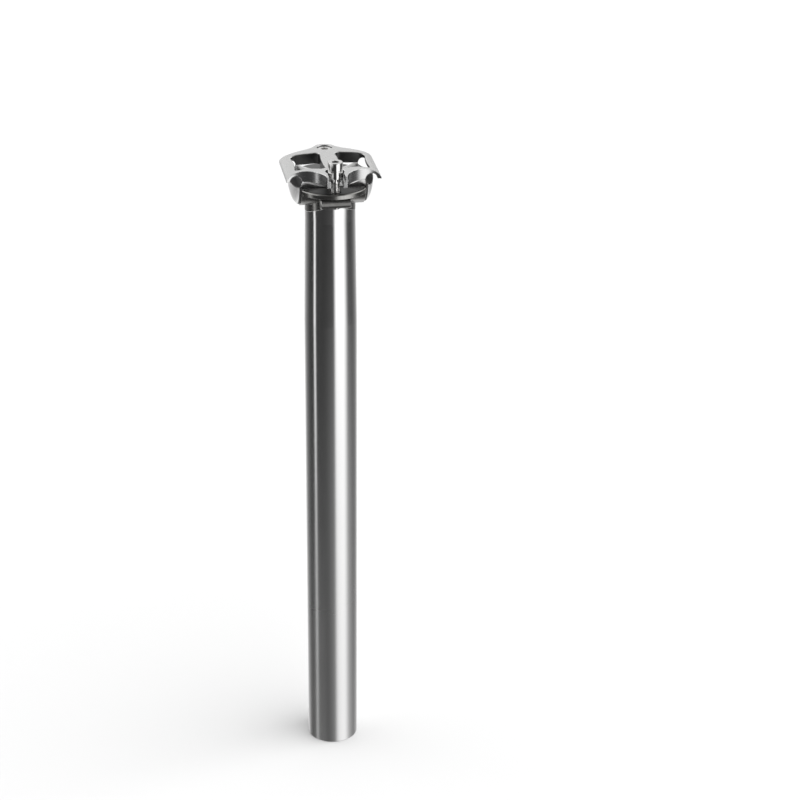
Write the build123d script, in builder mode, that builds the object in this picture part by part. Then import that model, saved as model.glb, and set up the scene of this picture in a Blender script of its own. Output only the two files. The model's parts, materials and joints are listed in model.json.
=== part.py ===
from build123d import *
import os
from math import sqrt

# A rigid two-bolt bicycle seatpost standing on its cut end.
# Millimetres. The origin is the centre of the tube's lower end, +Z runs up the post,
# +Y is the front of the bicycle and +X its right-hand side.

# Post tube
tube_diameter = 31.6
tube_wall = 1.6
neck_narrowing = 1.7
neck_drop = 28.0
taper_length = 65.0
end_chamfer = 0.4

# Saddle rails, whose centre line is also the height of the tilt axis
clamp_height = 386.0
rail_diameter = 7.0
rail_spacing = 44.0
parting_gap = 0.6

# Post head
head_overhang = 3.75
trough_wall = 2.75
trough_clearance = 0.25
rim_drop = 4.5
ear_margin = 6.5
ear_thickness = 3.0
ear_edge_round = 1.0
weld_depth = 4.0
weld_fillet = 2.5
tilt_room = 1.6

# Lower cradle
drum_margin = 1.05
dome_rise = 2.3
dome_inset = 2.7
side_clearance = 0.3
saddle_dip = 4.0
saddle_width = 34.0
dish_diameter = 26.0
dish_depth = 0.6

# Upper clamp
clamp_thickness = 6.7
flange_reach = 5.7
flange_front = 17.8
flange_rear = 17.4
flange_band = 5.2
shoulder_width = 15.6
shoulder_overrun = 0.1
lobe_radius = 6.5
prong_margin = 8.5
prong_tip_width = 1.0
window_inner = 3.9
window_front = 15.5
window_rear = 16.8
window_taper = 2.3
window_bow = 1.2
window_corner = 3.0
edge_break = 0.35

# Bolts, washer and barrel nuts
bolt_spacing = 47.0
bolt_diameter = 5.0
bolt_hole_clearance = 0.3
head_diameter = 8.5
head_chamfer = 0.5
front_head_height = 3.2
front_head_sink = 0.6
rear_head_height = 5.0
head_pocket_clearance = 0.3
socket_size = 4.0
front_socket_depth = 1.8
rear_socket_depth = 3.0
slot_width = 9.6
slot_end_diameter = 11.2
slot_end_offset = 2.0
ledge_depth = 3.0
ledge_width = 1.1
washer_height = 4.5
washer_diameter = 9.2
nut_diameter = 7.0
nut_length = 18.0
nut_chamfer = 0.5
nut_clearance = 0.3
thread_clearance = 0.05

# Sizes that follow from the ones above
tube_radius = tube_diameter / 2
neck_radius = tube_radius - neck_narrowing / 2
rail_radius = rail_diameter / 2
rail_x = rail_spacing / 2
taper_end = clamp_height - neck_drop
taper_start = taper_end - taper_length
bolt_y = bolt_spacing / 2
bolt_radius = bolt_diameter / 2
hole_radius = bolt_radius + bolt_hole_clearance
drum_radius = neck_radius + drum_margin
trough_radius = drum_radius + trough_clearance
head_radius = trough_radius + trough_wall
cope_radius = head_radius + weld_depth
head_side = neck_radius + head_overhang
rim_height = clamp_height - rim_drop
ear_bottom = rim_height - ear_thickness
ear_root = sqrt(head_radius**2 - rim_drop**2)
ear_reach = bolt_y + ear_margin
dome_start = head_side + side_clearance
dome_radius = drum_radius + dome_rise
clamp_edge = rail_x + flange_reach
cradle_edge = clamp_edge - dome_inset
window_outer = clamp_edge - flange_band
prong_reach = bolt_y + prong_margin
clamp_bottom = clamp_height + parting_gap / 2
clamp_top = clamp_bottom + clamp_thickness
cradle_top = clamp_height - parting_gap / 2
saddle_radius = (saddle_width**2 / 4 + saddle_dip**2) / (2 * saddle_dip)
front_seat = clamp_top - front_head_sink - front_head_height
ledge_height = clamp_top - ledge_depth
ledge_gap = slot_width - 2 * ledge_width
rear_seat = ledge_height + washer_height
nut_height = ear_bottom - nut_clearance - nut_diameter / 2
bolt_end = nut_height - nut_diameter / 2

tilt_axis = Axis((0, 0, clamp_height), (1, 0, 0))
# The upright plane through the tilt axis, with X across the post and Y up from the axis
axis_plane = Plane(origin=(0, 0, clamp_height), x_dir=(1, 0, 0), z_dir=(0, -1, 0))
across = (0, 90, 0)
along = (90, 0, 0)


def finish(piece, name):
    piece.part.label = name
    export_step(piece.part, f"parts/{name}.step")


os.makedirs("parts", exist_ok=True)

# Post tube: turned profile with a drawn-in neck, mitred round the head's trough
with BuildPart() as post_tube:
    with BuildSketch(Plane.XZ):
        with BuildLine():
            Polyline(
                (tube_radius - tube_wall, 0),
                (tube_radius, 0),
                (tube_radius, taper_start),
                (neck_radius, taper_end),
                (neck_radius, clamp_height),
                (neck_radius - tube_wall, clamp_height),
                (neck_radius - tube_wall, taper_end),
                (tube_radius - tube_wall, taper_start),
                close=True,
            )
        make_face()
    revolve(axis=Axis.Z)
    with Locations((0, 0, clamp_height)):
        Cylinder(cope_radius, 2 * tube_diameter, rotation=across, mode=Mode.SUBTRACT)
    chamfer(post_tube.edges().group_by(Axis.Z)[0], end_chamfer)
finish(post_tube, "post_tube")

# Post head: half-pipe trough on a mitred weld neck, with a bolt ear in front and behind
with BuildPart() as post_head:
    with Locations((0, 0, clamp_height)):
        Cylinder(cope_radius, 2 * tube_diameter, rotation=across)
    with BuildSketch(Plane.XY.offset(clamp_height - 2 * cope_radius)):
        Circle(neck_radius)
        Circle(neck_radius - tube_wall, mode=Mode.SUBTRACT)
    extrude(amount=2 * cope_radius, mode=Mode.INTERSECT)
    with Locations((0, 0, clamp_height)):
        Cylinder(head_radius, 2 * head_side, rotation=across)
    weld_edges = post_head.edges(Select.LAST).filter_by(GeomType.BSPLINE)
    fillet(weld_edges.group_by(SortBy.LENGTH)[-1], weld_fillet)
    with BuildSketch(Plane.XY.offset(ear_bottom)):
        with BuildLine():
            front_edge = ThreePointArc((-head_side, ear_root), (0, ear_reach), (head_side, ear_root))
            rear_edge = ThreePointArc((head_side, -ear_root), (0, -ear_reach), (-head_side, -ear_root))
            Line(front_edge @ 1, rear_edge @ 0)
            Line(rear_edge @ 1, front_edge @ 0)
        make_face()
    extrude(amount=ear_thickness)
    split(bisect_by=Plane.XY.offset(rim_height), keep=Keep.BOTTOM)
    with BuildSketch(Plane.XY.offset(ear_bottom)):
        with Locations((0, bolt_y), (0, -bolt_y)):
            SlotCenterToCenter(2 * tilt_room, 2 * hole_radius, rotation=90)
    extrude(amount=ear_thickness, mode=Mode.SUBTRACT)
    with Locations((0, 0, clamp_height)):
        Cylinder(trough_radius, 2 * tube_diameter, rotation=across, mode=Mode.SUBTRACT)
    rim_arcs = post_head.edges().group_by(Axis.Z)[-1].filter_by(GeomType.CIRCLE)
    fillet(rim_arcs.group_by(SortBy.LENGTH)[-1], ear_edge_round)
finish(post_head, "post_head")

# Lower cradle: a drum in the trough with a domed end outside each of its sides
with BuildPart() as lower_cradle:
    with BuildSketch(axis_plane):
        with BuildLine():
            Polyline((0, 0), (0, -drum_radius), (dome_start, -drum_radius), (dome_start, -dome_radius))
            EllipticalCenterArc((dome_start, 0), cradle_edge - dome_start, dome_radius, start_angle=-90)
            Line((cradle_edge, 0), (0, 0))
        make_face()
        mirror(about=Plane.YZ)
    revolve(axis=tilt_axis)
    split(bisect_by=Plane.XY.offset(cradle_top), keep=Keep.BOTTOM)
    with Locations((0, 0, cradle_top - saddle_dip + saddle_radius)):
        Cylinder(saddle_radius, 2 * dome_radius, rotation=along, mode=Mode.SUBTRACT)
    with BuildSketch(Plane.XY.offset(cradle_top - saddle_dip - dish_depth)):
        Circle(dish_diameter / 2)
    extrude(amount=saddle_dip + dish_depth, mode=Mode.SUBTRACT)
    with Locations((rail_x, 0, clamp_height), (-rail_x, 0, clamp_height)):
        Cylinder(rail_radius, 2 * dome_radius, rotation=along, mode=Mode.SUBTRACT)
finish(lower_cradle, "lower_cradle")

# Upper clamp: skeleton plate with rail flanges, a front lobe, a slotted rear and two windows
with BuildPart() as upper_clamp:
    with BuildSketch(Plane.XY.offset(clamp_bottom)):
        with BuildLine():
            lobe_rise = bolt_y - flange_front
            front_radius = (rail_x**2 + lobe_rise**2 - lobe_radius**2) / (2 * (lobe_radius + lobe_rise))
            lobe_share = lobe_radius / (lobe_radius + front_radius)
            lobe_touch = (rail_x * lobe_share, bolt_y + (front_radius - lobe_rise) * lobe_share)
            front_horn = front_radius - sqrt(front_radius**2 - flange_reach**2)
            front_corner = (clamp_edge, flange_front + front_horn)
            prong_x = slot_width / 2 + prong_tip_width
            prong_drop = prong_reach - flange_rear
            rear_radius = ((rail_x - prong_x) ** 2 + prong_drop**2) / (2 * prong_drop)
            rear_horn = rear_radius - sqrt(rear_radius**2 - flange_reach**2)
            rear_corner = (clamp_edge, -flange_rear - rear_horn)
            TangentArc((0, bolt_y + lobe_radius), lobe_touch, tangent=(1, 0))
            ThreePointArc(lobe_touch, (rail_x, flange_front), front_corner)
            Line(front_corner, rear_corner)
            ThreePointArc(rear_corner, (rail_x, -flange_rear), (prong_x, -prong_reach))
            Polyline((prong_x, -prong_reach), (0, -prong_reach), (0, bolt_y + lobe_radius))
        make_face()
        mirror(about=Plane.YZ)
    extrude(amount=clamp_thickness)
    with BuildSketch(Plane.XZ.offset(-prong_reach)):
        with BuildLine():
            shoulder_end = clamp_edge + shoulder_overrun
            shoulder_x = shoulder_end - shoulder_width
            Polyline((shoulder_x, clamp_top), (0, clamp_top), (0, clamp_bottom), (shoulder_end, clamp_bottom))
            EllipticalCenterArc((shoulder_x, clamp_bottom), shoulder_width, clamp_thickness)
        make_face()
        mirror(about=Plane.YZ)
    extrude(amount=2 * prong_reach, mode=Mode.INTERSECT)
    with BuildSketch(Plane.XY.offset(clamp_bottom)) as window:
        with BuildLine():
            inner_front = (window_inner, window_front)
            inner_rear = (window_inner, -window_rear)
            outer_front = (window_outer, window_front - window_taper)
            outer_rear = (window_outer, window_taper - window_rear)
            SagittaArc(inner_front, outer_front, -window_bow)
            SagittaArc(outer_front, outer_rear, -window_bow)
            SagittaArc(outer_rear, inner_rear, -window_bow)
            SagittaArc(inner_rear, inner_front, -window_bow)
        make_face()
        fillet(window.vertices(), window_corner)
        mirror(about=Plane.YZ)
    extrude(amount=clamp_thickness, mode=Mode.SUBTRACT)
    window_edges = upper_clamp.edges(Select.LAST).filter_by(lambda edge: edge.center().Z > ledge_height)
    chamfer(window_edges - window_edges.filter_by(Axis.Y), edge_break)
    with Locations((0, bolt_y, clamp_top)):
        CounterBoreHole(
            radius=hole_radius,
            counter_bore_radius=head_diameter / 2 + head_pocket_clearance,
            counter_bore_depth=front_head_sink + front_head_height,
        )
    with BuildSketch(Plane.XY.offset(clamp_bottom)):
        with Locations((0, -bolt_y)):
            Circle(ledge_gap / 2)
            Rectangle(ledge_gap, prong_reach, align=(Align.CENTER, Align.MAX))
    extrude(amount=clamp_thickness, mode=Mode.SUBTRACT)
    with BuildSketch(Plane.XY.offset(ledge_height)):
        with Locations((0, slot_end_offset - bolt_y)):
            Circle(slot_end_diameter / 2)
            Rectangle(slot_width, prong_reach, align=(Align.CENTER, Align.MAX))
    extrude(amount=ledge_depth, mode=Mode.SUBTRACT)
    with Locations((rail_x, 0, clamp_height), (-rail_x, 0, clamp_height)):
        Cylinder(rail_radius, 2 * prong_reach, rotation=along, mode=Mode.SUBTRACT)
finish(upper_clamp, "upper_clamp")


# Socket bolts: head on its seat, shank down through the ear and the barrel nut
def socket_bolt(name, y, seat, head_height, socket_depth):
    with BuildPart() as bolt:
        with BuildSketch(Plane.XY.offset(seat)):
            with Locations((0, y)):
                Circle(head_diameter / 2)
        extrude(amount=head_height)
        chamfer(bolt.edges().group_by(Axis.Z)[-1], head_chamfer)
        with BuildSketch(Plane.XY.offset(seat + head_height)):
            with Locations((0, y)):
                RegularPolygon(socket_size / 2, 6, major_radius=False)
        extrude(amount=-socket_depth, mode=Mode.SUBTRACT)
        with BuildSketch(Plane.XY.offset(bolt_end)):
            with Locations((0, y)):
                Circle(bolt_radius)
        extrude(amount=seat - bolt_end)
        chamfer(bolt.edges().group_by(Axis.Z)[0], head_chamfer)
    finish(bolt, name)


socket_bolt("front_bolt", bolt_y, front_seat, front_head_height, front_socket_depth)
socket_bolt("rear_bolt", -bolt_y, rear_seat, rear_head_height, rear_socket_depth)

# Rear washer: tall and tapered, from the slot's ledge up to the bolt head
with BuildPart() as rear_washer:
    with BuildSketch(Plane.YZ):
        with BuildLine():
            Polyline(
                (hole_radius - bolt_y, ledge_height),
                (washer_diameter / 2 - bolt_y, ledge_height),
                (head_diameter / 2 - bolt_y, rear_seat),
                (hole_radius - bolt_y, rear_seat),
                close=True,
            )
        make_face()
    revolve(axis=Axis((0, -bolt_y, 0), (0, 0, 1)))
finish(rear_washer, "rear_washer")


# Barrel nuts: cross pins under the ears, threaded on the bolts
def barrel_nut(name, y):
    with BuildPart() as nut:
        with Locations((0, y, nut_height)):
            Cylinder(nut_diameter / 2, nut_length, rotation=across)
        chamfer(nut.edges().filter_by(GeomType.CIRCLE), nut_chamfer)
        with Locations((0, y, nut_height)):
            Cylinder(bolt_radius + thread_clearance, 2 * nut_diameter, mode=Mode.SUBTRACT)
    finish(nut, name)


barrel_nut("front_nut", bolt_y)
barrel_nut("rear_nut", -bolt_y)
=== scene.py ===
import json
import math
import bmesh
import bpy
from mathutils import Matrix, Vector


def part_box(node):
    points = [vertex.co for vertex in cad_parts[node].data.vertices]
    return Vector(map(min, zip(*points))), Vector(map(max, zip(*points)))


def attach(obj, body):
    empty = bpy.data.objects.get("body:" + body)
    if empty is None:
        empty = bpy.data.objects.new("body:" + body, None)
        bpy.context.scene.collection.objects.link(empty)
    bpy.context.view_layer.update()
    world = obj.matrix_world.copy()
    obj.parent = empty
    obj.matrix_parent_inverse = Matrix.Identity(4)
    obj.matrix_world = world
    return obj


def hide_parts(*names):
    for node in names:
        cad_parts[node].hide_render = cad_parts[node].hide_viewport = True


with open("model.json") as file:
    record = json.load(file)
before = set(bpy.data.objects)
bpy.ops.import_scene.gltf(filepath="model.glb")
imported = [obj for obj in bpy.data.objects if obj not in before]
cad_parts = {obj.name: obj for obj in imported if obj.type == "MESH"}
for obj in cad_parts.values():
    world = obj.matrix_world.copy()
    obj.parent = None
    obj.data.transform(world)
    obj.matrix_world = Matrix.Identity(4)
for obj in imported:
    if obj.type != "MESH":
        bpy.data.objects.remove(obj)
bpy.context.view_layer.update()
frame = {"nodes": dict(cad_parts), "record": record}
nodes = frame["nodes"]
scene = bpy.context.scene
print("seatpost frame loaded:", len(nodes), "nodes")


# A socket that can be used in sums; every other node comes from node()
class Wire:
    def __init__(self, tree, socket):
        self.tree = tree
        self.socket = socket

    def node(self, kind, settings=None, inputs=None, out=0):
        made = self.tree.nodes.new(kind)
        for key, value in (settings or {}).items():
            setattr(made, key, value)
        for key, value in (inputs or {}).items():
            if isinstance(value, Wire):
                self.tree.links.new(value.socket, made.inputs[key])
            else:
                made.inputs[key].default_value = value
        return Wire(self.tree, made.outputs[out])

    def maths(self, operation, first, second=0.0):
        return self.node("ShaderNodeMath", {"operation": operation}, {0: first, 1: second})

    def __add__(self, other):
        return self.maths("ADD", self, other)

    def __radd__(self, other):
        return self.maths("ADD", other, self)

    def __sub__(self, other):
        return self.maths("SUBTRACT", self, other)

    def __rsub__(self, other):
        return self.maths("SUBTRACT", other, self)

    def __mul__(self, other):
        return self.maths("MULTIPLY", self, other)

    def __rmul__(self, other):
        return self.maths("MULTIPLY", other, self)

    def ramp(self, low, high):  # 0 at low, 1 at high, soft between; low may be the larger
        return self.node("ShaderNodeMapRange", {"interpolation_type": "SMOOTHSTEP"},
                         {"Value": self, "From Min": low, "From Max": high})

    def tint(self, dark, light):  # colour between two shades, each a wire or three numbers
        ends = [end if isinstance(end, Wire) else (*end, 1) for end in (dark, light)]
        return self.node("ShaderNodeMix", {"data_type": "RGBA"}, {0: self, 6: ends[0], 7: ends[1]}, out=2)

    def along(self, direction):  # how far this vector points along a direction
        return self.node("ShaderNodeVectorMath", {"operation": "DOT_PRODUCT"},
                         {0: self, 1: direction}, out="Value")


def newMaterial(name):
    material = bpy.data.materials.new(name)
    material.use_nodes = True
    shader = material.node_tree.nodes["Principled BSDF"]
    place = material.node_tree.nodes.new("ShaderNodeTexCoord")
    return material, shader, Wire(material.node_tree, place.outputs["Object"])


def grain(place, scale, detail, rough):  # noise stretched by scale along x, y and z
    moved = place.node("ShaderNodeMapping", None, {"Vector": place, "Scale": scale})
    return moved.node("ShaderNodeTexNoise", None,
                      {"Vector": moved, "Scale": 1.0, "Detail": detail, "Roughness": rough})


def span(place, axis, low, high):  # by distance from the middle along an axis
    reach = place.along(axis)
    return reach.maths("ABSOLUTE", reach).ramp(low, high)


def facing(place, axis, low, high):  # by how squarely the surface looks along an axis
    return span(place.node("ShaderNodeTexCoord", out="Normal"), axis, low, high)


def within(squareReach, edge):  # by a distance that is known by its square
    return squareReach.ramp(*(reach ** 2 for reach in edge))


across, ahead, upward = (1, 0, 0), (0, 1, 0), (0, 0, 1)

metalSet = {  # shared by all the metals; a grain is its detail and its roughness
    "lineGrain": (4.0, 0.7), "fineGrain": (2.0, 0.6), "polishGrain": (3.0, 0.5), "pitGrain": (2.0, 0.5),
    "finer": 3.1, "lineShade": 0.4, "fineShade": 0.2, "polishShade": 0.4, "shadeEnds": (0.3, 0.7),
    "middle": 0.5, "edgeSamples": 4, "edgePolish": 0.1, "wornEnds": (0.08, 0.25),
    "lineHeight": 0.5, "fineHeight": 0.3, "depth": 0.00002,
}


# Bare metal with brush lines, polish marks, fine pits and worn edges, and the satin spots and painted shade
# from the spots function
def bareMetal(name, look, spotsAndShade=None, shared=metalSet):
    material, shader, place = newMaterial(name)
    lines = grain(place, look["lineScale"], *shared["lineGrain"])
    fineLines = grain(place, [value * shared["finer"] for value in look["lineScale"]], *shared["fineGrain"])
    polish = grain(place, (look["polishScale"],) * 3, *shared["polishGrain"])
    pits = grain(place, (look["pitScale"],) * 3, *shared["pitGrain"])
    shade = lines * shared["lineShade"] + fineLines * shared["fineShade"] + polish * shared["polishShade"]
    colour = shade.ramp(*shared["shadeEnds"]).tint(look["dark"], look["light"])
    rough = look["rough"] + (lines - shared["middle"]) * look["lineRough"]
    rough = rough + (polish - shared["middle"]) * look["polishRough"]
    # the spots: satin patches, and painted shade on walls, windows, grooves, rims and ear tops
    for part, spot in spotsAndShade(place, look) if spotsAndShade else ():
        colour = part.tint(colour, spot["shade"])
        rough = rough + part * spot["rough"]
    rounded = place.node("ShaderNodeBevel", {"samples": shared["edgeSamples"]}, {"Radius": look["edge"]})
    bend = 1 - rounded.along(place.node("ShaderNodeNewGeometry", out="Normal"))
    colour = (bend + polish * shared["edgePolish"]).ramp(*shared["wornEnds"]).tint(colour, look["worn"])
    if "lowRough" in look:  # coarser brushing towards the lower end
        rough = rough + place.along(upward).ramp(*look["lowEnd"]) * look["lowRough"]
    height = lines * shared["lineHeight"] + fineLines * shared["fineHeight"] + pits * look["pitShare"]
    bump = height.node("ShaderNodeBump", None, {"Strength": look["bump"], "Distance": shared["depth"],
                                                "Height": height, "Normal": rounded})
    tree = material.node_tree
    tree.links.new(colour.socket, shader.inputs["Base Color"])
    tree.links.new(rough.socket, shader.inputs["Roughness"])
    tree.links.new(bump.socket, shader.inputs["Normal"])
    shader.inputs["Metallic"].default_value = 1.0
    shader.inputs["Anisotropic"].default_value = look["stretch"]
    shader.inputs["Anisotropic Rotation"].default_value = look["turn"]
    return material


rail = next(mount for mount in frame["record"]["mounts"] if mount["name"] == "rail_clamp_right")
grooveShadeSet = {  # where the saddle rails lie, and the painted shade in the grooves that hold them
    "side": rail["pos_m"][0], "height": rail["pos_m"][2], "edge": (0.0039, 0.0036),
    # painted shade: the rail grooves darkened almost to black
    "shade": (0.10, 0.10, 0.10), "rough": 0.1,
}


def railGroove(place, settings):
    beside = place.along(across)
    beside = beside.maths("ABSOLUTE", beside) - settings["side"]
    above = place.along(upward) - settings["height"]
    return within(beside * beside + above * above, settings["edge"])


tubeLook = {  # drawn titanium, brushed round the tube
    "dark": (0.581, 0.580, 0.579), "light": (0.593, 0.592, 0.591), "worn": (0.72, 0.719, 0.718),
    "rough": 0.17, "lineRough": 0.01, "polishRough": 0.04, "lowRough": 0.12, "lowEnd": (0.36, 0.02),
    "lineScale": (30, 30, 9000), "polishScale": 26, "pitScale": 2600, "pitShare": 0.1,
    "bump": 0.02, "stretch": 0.6, "turn": 0.25, "edge": 0.0003,
}
headLook = {  # machined titanium, satin
    "dark": (0.24, 0.237, 0.23), "light": (0.31, 0.306, 0.295), "worn": (0.62, 0.615, 0.60),
    "rough": 0.24, "lineRough": 0.06, "polishRough": 0.06,
    "lineScale": (900, 40, 40), "polishScale": 60, "pitScale": 3000, "pitShare": 0.1,
    "bump": 0.04, "stretch": 0.2, "turn": 0.0, "edge": 0.0003,
    # painted shade: faces looking up or down, the ear tops among them, darkened almost to black
    "shadedEarTop": {"shade": (0.085, 0.085, 0.083), "rough": 0.1, "facing": (0.7, 0.95)},
}
cradleLook = {  # polished aluminium
    "dark": (0.88, 0.88, 0.875), "light": (0.94, 0.94, 0.935), "worn": (0.96, 0.96, 0.955),
    "rough": 0.30, "lineRough": 0.03, "polishRough": 0.04,
    "lineScale": (900, 50, 50), "polishScale": 70, "pitScale": 3500, "pitShare": 0.05,
    "bump": 0.02, "stretch": 0.0, "turn": 0.0, "edge": 0.0003,
    "dome": {"shade": (0.92, 0.92, 0.915), "rough": 0.2, "start": (0.0187, 0.0191)},
    # painted shadow: the dome rims darkened almost to black, in place of the shadowed gap beside the trough
    "rim": {"shade": (0.10, 0.10, 0.10), "rough": 0.1, "facing": (0.6, 0.4)},
    "dish": {"shade": (0.86, 0.86, 0.855), "rough": 0.12, "edge": (0.0131, 0.0129)},
}
clampLook = {  # satin aluminium plate
    "dark": (0.51, 0.51, 0.505), "light": (0.58, 0.58, 0.575), "worn": (0.95, 0.95, 0.945),
    "rough": 0.27, "lineRough": 0.06, "polishRough": 0.06,
    "lineScale": (60, 60, 900), "polishScale": 90, "pitScale": 3600, "pitShare": 0.15,
    "bump": 0.03, "stretch": 0.0, "turn": 0.0, "edge": 0.0006,
    # painted shade: steep walls of the plate darker, and the window walls darker still
    "wall": {"shade": (0.46, 0.46, 0.46), "rough": 0.0, "facing": (0.6, 0.2)},
    "window": {"shade": (0.14, 0.14, 0.14), "rough": 0.1, "ahead": (0.0172, 0.0166), "side": (0.0240, 0.0234)},
}
boltLook = {  # bare stainless fasteners
    "dark": (0.56, 0.555, 0.55), "light": (0.66, 0.655, 0.645), "worn": (0.78, 0.775, 0.765),
    "rough": 0.14, "lineRough": 0.05, "polishRough": 0.04,
    "lineScale": (150, 150, 3000), "polishScale": 160, "pitScale": 5200, "pitShare": 0.1,
    "bump": 0.05, "stretch": 0.2, "turn": 0.25, "edge": 0.0001,
}
nutLook = {  # turned cross pins, lines round their own axis
    "dark": (0.26, 0.256, 0.25), "light": (0.34, 0.336, 0.328), "worn": (0.55, 0.545, 0.535),
    "rough": 0.22, "lineRough": 0.08, "polishRough": 0.04,
    "lineScale": (3000, 150, 150), "polishScale": 160, "pitScale": 5200, "pitShare": 0.1,
    "bump": 0.06, "stretch": 0.2, "turn": 0.0, "edge": 0.0002,
}


def headPaintedShade(place, look):  # painted shade: faces looking straight up or down, the ear tops among them, darkened almost to black
    shadedEarTop = facing(place, upward, *look["shadedEarTop"]["facing"])
    return ((shadedEarTop, look["shadedEarTop"]),)


def cradleSpotsAndShade(place, look):  # satin domes, painted shadow along the dome rims, the sunk dish, and painted shade in the grooves
    dome = span(place, across, *look["dome"]["start"])
    rim = facing(place, across, *look["rim"]["facing"]) * dome
    level = place.node("ShaderNodeVectorMath", {"operation": "MULTIPLY"}, {0: place, 1: (1, 1, 0)})
    dish = within(level.along(level), look["dish"]["edge"])
    groove = railGroove(place, grooveShadeSet)
    return (dome, look["dome"]), (dish, look["dish"]), (rim, look["rim"]), (groove, grooveShadeSet)


def platePaintedShade(place, look):  # painted shade: steep walls darkened, window walls darker still, grooves almost black
    wall = facing(place, upward, *look["wall"]["facing"])
    window = wall * span(place, ahead, *look["window"]["ahead"]) * span(place, across, *look["window"]["side"])
    groove = railGroove(place, grooveShadeSet)
    return (wall, look["wall"]), (window, look["window"]), (groove, grooveShadeSet)


finishes = {
    "post_tube": bareMetal("brushedTube", tubeLook),
    "post_head": bareMetal("satinHead", headLook, headPaintedShade),
    "lower_cradle": bareMetal("polishedCradle", cradleLook, cradleSpotsAndShade),
    "upper_clamp": bareMetal("satinPlate", clampLook, platePaintedShade),
    "front_bolt": bareMetal("stainlessBolt", boltLook),
    "front_nut": bareMetal("turnedNut", nutLook),
}
finishes["rear_bolt"] = finishes["rear_washer"] = finishes["front_bolt"]
finishes["rear_nut"] = finishes["front_nut"]
for name, node in nodes.items():
    node.data.materials.clear()
    node.data.materials.append(finishes[name])
print("metals set on", len(finishes), "nodes")


# Socket bolts with a broached key and a rolled thread, in metres
boltSet = {
    "front_bolt": {"headHeight": 0.0032, "keyDepth": 0.0018, "plain": 0.0040},
    "rear_bolt": {"headHeight": 0.0050, "keyDepth": 0.0030, "plain": 0.0075},
    "rim": 0.0005, "rimShare": 0.29, "underRim": 0.00015,  # rimShare sets the round's middle point
    "keySize": 0.0040, "keySides": 6, "keyLead": 0.0003, "keyRim": 0.00028,
    "shank": 0.0025, "pitch": 0.0008, "root": 0.00203, "crest": 0.00248,
    "toothRise": 0.40, "toothFall": 0.52, "toothEnd": 0.92,  # shares of the pitch
    "steps": 48, "turnSteps": 36, "spareTurns": 2, "merge": 1e-6, "cut": 1e-8, "sharp": 32,  # sharp in degrees
}


def makeThread(bm, centre, top, bottom, settings):  # one tooth wound down the shank
    pitch, root, crest = settings["pitch"], settings["root"], settings["crest"]
    tooth = ((root, 0.0), (crest, settings["toothRise"]), (crest, settings["toothFall"]),
             (root, settings["toothEnd"]), (root, 1.0))
    chain = [bm.verts.new((centre.x + radius, centre.y, top + pitch - share * pitch))
             for radius, share in tooth]
    edges = [bm.edges.new(pair) for pair in zip(chain, chain[1:])]
    turns = math.ceil((top - bottom) / pitch) + settings["spareTurns"]
    bmesh.ops.spin(bm, geom=chain + edges, cent=centre, axis=upward, angle=-2 * math.pi * turns,
                   steps=settings["turnSteps"] * turns, dvec=(0, 0, -pitch / settings["turnSteps"]))
    bmesh.ops.remove_doubles(bm, verts=bm.verts, dist=settings["merge"])
    for level, outward in ((top, 1), (bottom, -1)):  # square ends
        bmesh.ops.bisect_plane(bm, geom=bm.verts[:] + bm.edges[:] + bm.faces[:], dist=settings["cut"],
                               plane_co=(0, 0, level), plane_no=(0, 0, outward), clear_outer=True)
    bmesh.ops.holes_fill(bm, edges=[edge for edge in bm.edges if edge.is_boundary], sides=0)


def makeHead(bm, centre, radius, top, shankEnd, size, settings):
    rim, under, shank = settings["rim"], settings["underRim"], settings["shank"]
    rimMiddle = rim * settings["rimShare"]
    keyCorner = settings["keySize"] / math.sqrt(3)
    seat = top - size["headHeight"]
    profile = ((keyCorner + settings["keyRim"], top), (radius - rim, top),
               (radius - rimMiddle, top - rimMiddle), (radius, top - rim),
               (radius, seat + under), (radius - under, seat), (shank, seat),
               (shank, shankEnd), (0.0, shankEnd))
    chain = [bm.verts.new((centre.x + out, centre.y, height)) for out, height in profile]
    edges = [bm.edges.new(pair) for pair in zip(chain, chain[1:])]
    bmesh.ops.spin(bm, geom=chain + edges, cent=centre, axis=upward, angle=2 * math.pi,
                   steps=settings["steps"], use_merge=True)
    bmesh.ops.remove_doubles(bm, verts=bm.verts, dist=settings["merge"])
    rimEdges = [edge for edge in bm.edges if edge.is_boundary]
    place = Matrix.Translation((centre.x, centre.y, top - settings["keyLead"]))
    bmesh.ops.create_circle(bm, cap_ends=False, radius=keyCorner, segments=settings["keySides"], matrix=place)
    bmesh.ops.subdivide_edges(bm, edges=[edge for edge in bm.edges if edge.is_wire],
                              cuts=settings["steps"] // settings["keySides"] - 1)
    keyEdges = [edge for edge in bm.edges if edge.is_wire]
    bmesh.ops.bridge_loops(bm, edges=rimEdges + keyEdges)
    walls = bmesh.ops.extrude_edge_only(bm, edges=keyEdges)["geom"]
    keyFloor = [part for part in walls if isinstance(part, bmesh.types.BMVert)]
    bmesh.ops.translate(bm, verts=keyFloor, vec=(0, 0, settings["keyLead"] - size["keyDepth"]))
    bmesh.ops.edgeloop_fill(bm, edges=[part for part in walls if isinstance(part, bmesh.types.BMEdge)
                                       and part.is_boundary])


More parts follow.
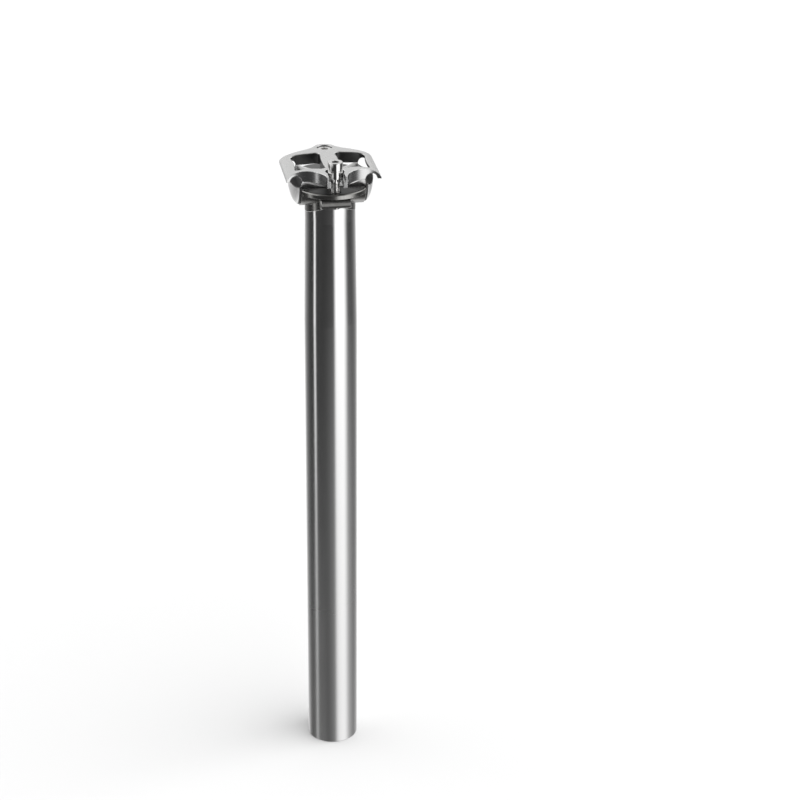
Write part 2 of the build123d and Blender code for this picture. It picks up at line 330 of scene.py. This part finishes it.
def makeBolt(name, settings):
    size = settings[name]
    low, high = (Vector(corner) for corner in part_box(name))
    centre = (low + high) / 2
    radius = (high.x - low.x) / 2
    shankEnd = high.z - size["headHeight"] - size["plain"]
    bm = bmesh.new()
    makeThread(bm, centre, shankEnd, low.z, settings)
    makeHead(bm, centre, radius, high.z, shankEnd, size, settings)
    bmesh.ops.recalc_face_normals(bm, faces=bm.faces)
    pieceName = "keyed_" + name
    mesh = bpy.data.meshes.new(pieceName)
    bm.to_mesh(mesh)
    bm.free()
    mesh.shade_smooth()
    mesh.set_sharp_from_angle(angle=math.radians(settings["sharp"]))
    mesh.materials.append(finishes[name])
    piece = bpy.data.objects.new(pieceName, mesh)
    scene.collection.objects.link(piece)
    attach(piece, "clamp")
    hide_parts(name)
    print("bolt made:", pieceName, len(mesh.polygons), "faces")


for boltName in ("front_bolt", "rear_bolt"):
    makeBolt(boltName, boltSet)


# Camera, read from the photograph's tube edges, base and clamp corners
cameraSet = {
    "spot": (-0.15756, -1.16726, 0.77981), "farEnd": 50.0,  # metres
    "heading": 9.7434, "pitch": 24.6643, "roll": 0.561,  # degrees
    "lens": 95.07, "sensor": 36.0,  # millimetres
}


def makeCamera(settings):
    data = bpy.data.cameras.new("photoCamera")
    data.sensor_width = settings["sensor"]
    data.lens = settings["lens"]
    data.clip_end = settings["farEnd"]
    camera = bpy.data.objects.new("photoCamera", data)
    turn = (Matrix.Rotation(-math.radians(settings["heading"]), 4, "Z")
            @ Matrix.Rotation(math.radians(90 - settings["pitch"]), 4, "X")
            @ Matrix.Rotation(math.radians(settings["roll"]), 4, "Z"))
    camera.matrix_world = Matrix.Translation(settings["spot"]) @ turn
    scene.collection.objects.link(camera)
    scene.camera = camera


makeCamera(cameraSet)
scene.view_settings.view_transform = "Standard"
toCamera = Vector((*cameraSet["spot"][:2], 0)).normalized()  # level, from the post
print("camera set")

# Floor: a plain white square that the metal doesn't mirror
floorSet = {"size": 12.0, "white": 0.71, "rough": 0.9}


def makeFloor(settings):
    bm = bmesh.new()
    bmesh.ops.create_grid(bm, x_segments=1, y_segments=1, size=settings["size"] / 2)
    mesh = bpy.data.meshes.new("studioFloor")
    bm.to_mesh(mesh)
    bm.free()
    floor = bpy.data.objects.new("studioFloor", mesh)
    scene.collection.objects.link(floor)
    material, shader = newMaterial("paleFloor")[:2]
    shader.inputs["Base Color"].default_value = (*(settings["white"],) * 3, 1)
    shader.inputs["Roughness"].default_value = settings["rough"]
    shader.inputs["Specular IOR Level"].default_value = 0.0
    mesh.materials.append(material)
    floor.visible_glossy = False


makeFloor(floorSet)
print("floor laid")

# Studio that the metal mirrors: bearings in degrees, to the right of the camera as seen from the post
studioSet = {
    "dark": 0.045,
    "panels": [  # rising and falling edge of each lit panel, and its light
        {"rise": (11, 26), "fall": (55, 86), "light": 2.0},
        {"rise": (-82, -77), "fall": (-73, -67), "light": 1.7},
    ],
    "backRight": {"edge": (96, 195), "light": 0.9},
    "backLeft": {"edge": (96, 195), "light": 1.05},
    "sky": {"edge": (0.02, 0.25), "front": 0.15, "back": 1.0, "turn": (-0.5, 0.4),
            "sideEdge": (0.5, 0.8), "side": 1.0, "leftEdge": (0.15, 0.6), "leftDrop": 0.20},
    "floor": {"edge": (0.30, 0.58), "share": 0.75, "rise": (-50, 75), "fall": (66, 145),
              "dark": 0.10, "light": 1.10, "backEdge": (132, 162), "back": 1.0},
    "ground": {"edge": (0.62, 0.87), "light": 1.4, "front": 0.10, "turn": (0.1, 0.55), "sideEdge": (0.2, 0.5),
               "backEdge": (0.42, 0.58), "backRise": 0.15},
}


def makeStudio(settings):
    sky, floor, ground = settings["sky"], settings["floor"], settings["ground"]
    world = bpy.data.worlds.new("softStudio")
    world.use_nodes = True
    tree = world.node_tree
    ray = Wire(tree, tree.nodes.new("ShaderNodeTexCoord").outputs["Generated"])
    toRight = Vector((-toCamera.y, toCamera.x, 0))
    side, front, rise = ray.along(toRight), ray.along(toCamera), ray.along(upward)
    bearing = ray.maths("ARCTAN2", side, front) * math.degrees(1)
    wall = settings["dark"]
    for panel in settings["panels"]:
        wall = wall + bearing.ramp(*panel["rise"]) * (1 - bearing.ramp(*panel["fall"])) * panel["light"]
    wall = wall + bearing.ramp(*settings["backRight"]["edge"]) * settings["backRight"]["light"]
    wall = wall + (0 - bearing).ramp(*settings["backLeft"]["edge"]) * settings["backLeft"]["light"]
    overhead = sky["front"] + (0 - front).ramp(*sky["turn"]) * (sky["back"] - sky["front"])
    overhead = overhead + ray.maths("ABSOLUTE", side).ramp(*sky["sideEdge"]) * sky["side"]
    above = (rise + (0 - side).ramp(*sky["leftEdge"]) * sky["leftDrop"]).ramp(*sky["edge"])
    near = (0 - rise).ramp(*floor["edge"]) * floor["share"]  # floor some way off, over the foot of the walls
    glow = floor["dark"] + bearing.ramp(*floor["rise"]) * (1 - bearing.ramp(*floor["fall"])) * floor["light"]
    glow = glow + ray.maths("ABSOLUTE", bearing).ramp(*floor["backEdge"]) * floor["back"]
    wall = wall * (1 - near) + near * glow
    below = ((0 - front).ramp(*ground["backEdge"]) * ground["backRise"] - rise).ramp(*ground["edge"])
    beside = (0 - front).ramp(*ground["turn"])  # ground close by, dark in front of the post alone
    beside = beside.maths("MAXIMUM", beside, ray.maths("ABSOLUTE", side).ramp(*ground["sideEdge"]))
    underfoot = ground["front"] + beside * (ground["light"] - ground["front"])
    light = wall * (1 - above) * (1 - below) + overhead * above + underfoot * below
    seen = ray.node("ShaderNodeLightPath", out="Is Camera Ray")
    light = light * (1 - seen) + seen  # plain white behind the post
    tree.links.new(light.socket, tree.nodes["Background"].inputs["Strength"])
    tree.nodes["Background"].inputs["Color"].default_value = (1, 1, 1, 1)
    scene.world = world


makeStudio(studioSet)

# A broad soft light from the right, for the shadow on the floor
softSet = {"bearing": 60, "height": 42, "spread": 80, "strength": 2.9}  # first three in degrees


def makeSoftLight(settings):
    data = bpy.data.lights.new("softRight", "SUN")
    data.energy = settings["strength"]
    data.angle = math.radians(settings["spread"])
    light = bpy.data.objects.new("softRight", data)
    toLight = toCamera.copy()
    toLight.rotate(Matrix.Rotation(math.radians(settings["bearing"]), 3, "Z"))
    toLight.z = math.tan(math.radians(settings["height"]))
    light.rotation_euler = toLight.to_track_quat("Z", "Y").to_euler()
    light.visible_glossy = False
    scene.collection.objects.link(light)


makeSoftLight(softSet)
print("studio set:", len(studioSet["panels"]), "panels")
